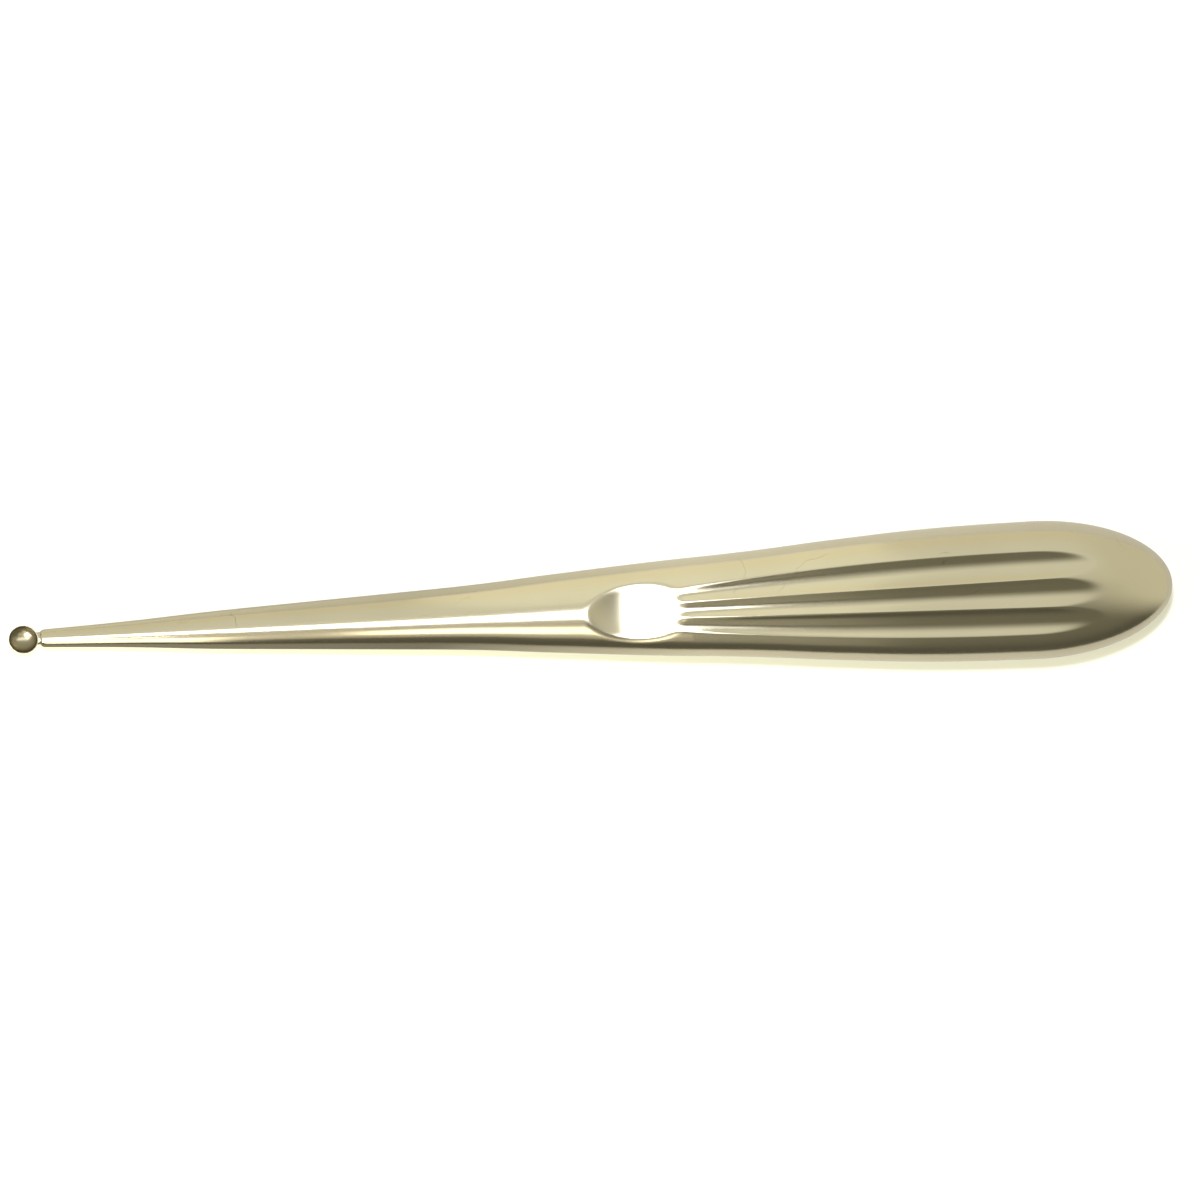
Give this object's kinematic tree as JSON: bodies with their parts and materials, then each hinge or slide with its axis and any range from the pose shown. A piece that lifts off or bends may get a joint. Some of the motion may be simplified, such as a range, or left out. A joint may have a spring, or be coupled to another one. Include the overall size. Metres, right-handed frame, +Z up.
{
  "type": "bone curette",
  "caption": "One-piece hand instrument for scraping bone: small round cup on a tapering shaft, dished thumb rest and fluted teardrop handle.",
  "frame": {"origin": "under the middle of the object's box, on the surface it lies on", "axes": "+X from the cup to the butt of the handle, +Z up out of the cup's mouth, +Y across the handle; the instrument lies on the lower flute crests of its handle"},
  "size_m": [0.17, 0.0202, 0.0117],
  "materials": {
    "satin_steel": "satin ground stainless steel, warm in tone, lightly brushed along its length"
  },
  "bodies": {
    "root": {"bone_curette": "satin_steel"}
  },
  "joints": []
}
